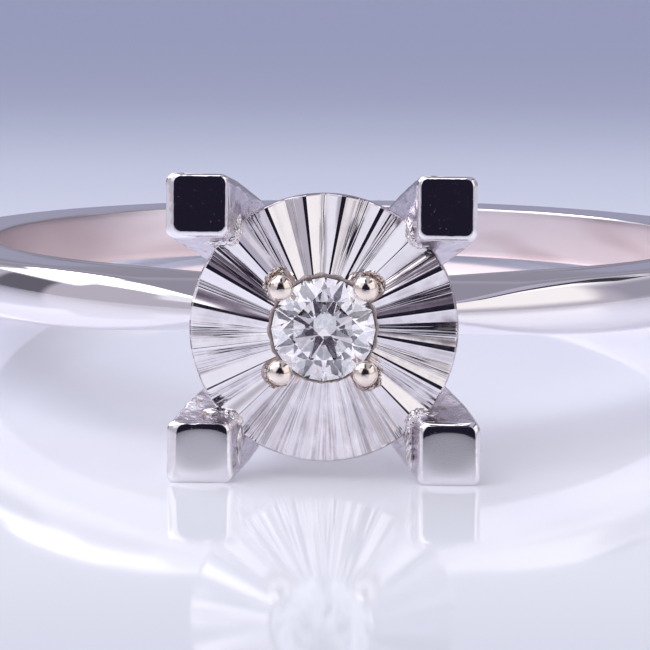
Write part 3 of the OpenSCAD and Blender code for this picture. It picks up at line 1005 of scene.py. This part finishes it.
# the colours paint light and shade: lightest in front of the head, darker towards the camera, blue-grey at
# the back
TABLE_TINTS_AND_SHADE = [
    # share of the way from front to back, colour
    (0.0, (0.73, 0.75, 0.81)), (0.1, (0.87, 0.885, 0.93)), (0.2, (0.9, 0.91, 0.975)),
    (0.31, (0.82, 0.84, 0.93)), (0.42, (0.76, 0.79, 0.91)), (0.54, (0.61, 0.65, 0.77)),
    (0.64, (0.295, 0.33, 0.47)), (0.8, (0.295, 0.32, 0.485)), (1.0, (0.285, 0.315, 0.47)),
]
HOLE_EDGE = (8.4 * MM, 8.7 * MM)
GLOW_FROM_TO = (2.0 * MM, 6.0 * MM)
HOLE_PAINTED_LIGHT, GLOW_TINT = (0.95, 0.8, 0.8), (1.0, 0.89, 0.9)

table_finish, tree = new_finish("pale_table", (0.8, 0.8, 0.88), 0.06, metallic=0.0)
away = node(tree, "SeparateXYZ", Vector=own_place(tree)).outputs["Y"]
ramp = node(tree, "ValToRGB", Fac=spread(tree, away, *TABLE_FROM_TO, 0, 1))
ramp.color_ramp.interpolation = "B_SPLINE"
stops = ramp.color_ramp.elements
for at, colour in TABLE_TINTS_AND_SHADE[1:-1]:
    stops.new(at)
for stop, (at, colour) in zip(stops, TABLE_TINTS_AND_SHADE):
    stop.color = (*colour, 1)
tint = ramp.outputs["Color"]
from_axis = against(tree, "DISTANCE", own_place(tree), (0, REST_SHIFT * MM, 0))
# painted light: the table glows everywhere a little, and more and pinker in the finger hole
painted_glow_patch = times(tree, spread(tree, from_axis, *HOLE_EDGE, 1, 0),
                spread(tree, away, *GLOW_FROM_TO, 0, 1, "SMOOTHSTEP"))
feed(tree, Base_Color=blend(tree, painted_glow_patch, tint, HOLE_PAINTED_LIGHT), IOR=1.42,
     Emission_Color=blend(tree, painted_glow_patch, tint, GLOW_TINT),
     Emission_Strength=spread(tree, painted_glow_patch, 0, 1, 0.15, 0.42))
square = np.array([(-1, -1, 0), (1, -1, 0), (1, 1, 0), (-1, 1, 0)])
table = make("table", square * HALF_TABLE, [np.array([[0, 1, 2, 3]])], [table_finish])
table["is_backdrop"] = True

# %% [markdown]
# Polished metal is a picture of the room: a pale studio with softboxes, and a dark gap
# behind the camera. Each softbox is a soft-edged rectangle on the sky. A direction lies
# inside it where its offsets from the middle are small enough.

# %% Room
world = bpy.data.worlds.new("studio")
world.use_nodes = True
bpy.context.scene.world = world
tree = world.node_tree
way = node(tree, "TexCoord").outputs["Generated"]


def along(vector):
    """How far the direction goes along a fixed vector."""
    return against(tree, "DOT_PRODUCT", way, vector)


height_now = along((0, 0, 1))


def within(value, limit, edge):
    """1 where a value is below a limit and 0 above it, over a soft edge."""
    return spread(tree, value, limit - edge / 2, limit + edge / 2, 1.0, 0.0, "SMOOTHSTEP")


def softbox(under, turn, rise, half_wide, half_high, edge, colour, strength):
    """Lays a soft rectangle over the room, at a turn and a rise."""
    out, side = aim(turn, rise), aim(turn + 90, 0)
    ahead = along(out)
    safe = maths(tree, "MAXIMUM", ahead, 0.05)
    share = spread(tree, ahead, 0.05, 0.15, 0, 1)
    for axis, half in ((side, half_wide), (np.cross(out, side), half_high)):
        off = maths(tree, "ABSOLUTE", maths(tree, "DIVIDE", along(axis), safe))
        limit, soft = tan(radians(half)), tan(radians(edge))
        share = times(tree, share, within(off, limit, soft))
    return blend(tree, share, under, tuple(c * strength for c in colour))


def dark_sky(under, high, edge, wide, colour):
    """Lays a dark shape over the room that stands on the horizon and narrows upwards.

    In degrees, high is where it ends above the horizon, edge how soft it is, and wide how
    far it reaches to each side.
    """
    turn = times(tree, maths(tree, "ARCTAN2", along((1, 0, 0)), along((0, -1, 0))), degrees(1))
    rise = times(tree, maths(tree, "ARCSINE", height_now), degrees(1))
    side = maths(tree, "ABSOLUTE", maths(tree, "SUBTRACT", turn, DARK_MIDDLE))
    over = maths(tree, "ADD", side, times(tree, rise, DARK_NARROWING))
    share = times(tree, spread(tree, rise, DARK_LOW - 1, DARK_LOW + 1, 0, 1),
                  within(over, wide, edge), within(rise, high, edge))
    return blend(tree, share, under, colour)


DARK_MIDDLE, DARK_LOW, DARK_NARROWING = 1, -2, 0.2
room = blend(tree, spread(tree, height_now, 0.45, 0.9, 0, 1, "SMOOTHSTEP"),
             (0.5, 0.475, 0.55), (1.85, 1.85, 1.95))
COOL = (0.9, 0.905, 1.0)
WARM = (1.0, 0.98, 0.985)
LAVENDER = (0.9, 0.87, 1.08)
SOFTBOXES = [
    # turn, rise, half width, half height, soft edge, colour, strength
    (180, 44, 40, 20, 14, LAVENDER, 0.34),
    (180, 4, 72, 18, 12, LAVENDER, 0.32),
    (-128, 44, 17, 8, 5, COOL, 6),
    (132, 44, 12, 6, 5, WARM, 1.2),
    (-80, 54, 30, 25, 4, COOL, 2),
    (-101, 38, 20, 17, 4, COOL, 2),
    (84, 70, 42, 19, 6, LAVENDER, 0.52),
    (-37, 30, 14, 17, 6, COOL, 1),
    (-99, 8, 11, 12, 4, LAVENDER, 0.15),
    (100, 14, 16, 14, 10, LAVENDER, 0.38),
    (52, 23, 24, 17, 10, WARM, 1.02),
    (88, 56, 30, 4, 3, LAVENDER, 0.04),
    (113, 43, 10, 7, 4, LAVENDER, 0.05),
    (2, 66, 8, 20, 4, WARM, 0.03),
]
for box in SOFTBOXES:
    room = softbox(room, *box)
room = dark_sky(room, 47.5, 8, 27, (0.2, 0.165, 0.23))
room = dark_sky(room, 39.5, 6, 26.5, (0.013, 0.011, 0.024))
# what the stone gathers: lamps all round, two brown patches and the dark of the camera
sparkle = blend(tree, spread(tree, height_now, -0.1, 0.8, 0, 1), (0.62, 0.57, 0.7), (1.2, 1.15, 1.29))
for box in ((-62, 22, 13, 12, 4, (0.36, 0.27, 0.26), 1.0), (70, 38, 12, 12, 4, (0.4, 0.31, 0.3), 1.0),
            (2.3, 14, 16.5, 16.5, 4, (0.9, 0.75, 1.3), 0.06)):
    sparkle = softbox(sparkle, *box)
through = node(tree, "LightPath").outputs["Is Transmission Ray"]
plug(tree.nodes["Background"].inputs["Color"], blend(tree, through, room, sparkle))

# %% [markdown]
# Colours are shown without a film curve, because the photograph's whites are almost white.
# The stone needs many bounces of light.

# %% Colour and light paths
view, cycles = bpy.context.scene.view_settings, bpy.context.scene.cycles
view.view_transform = "Standard"
view.look = "None"
cycles.max_bounces = cycles.transmission_bounces = 24
cycles.glossy_bounces = 10
cycles.diffuse_bounces = 4
cycles.caustics_refractive = cycles.caustics_reflective = True
cycles.sample_clamp_indirect = 6
cycles.blur_glossy = 0.3

# %% [markdown]
# The finished ring has to be the size that the CAD says. Both boxes are printed.

# %% Sizes
made_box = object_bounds()
for name, pair in (("CAD", cad_box), ("made", made_box)):
    print(name, [[round(float(c) / MM, 3) for c in corner] for corner in pair])
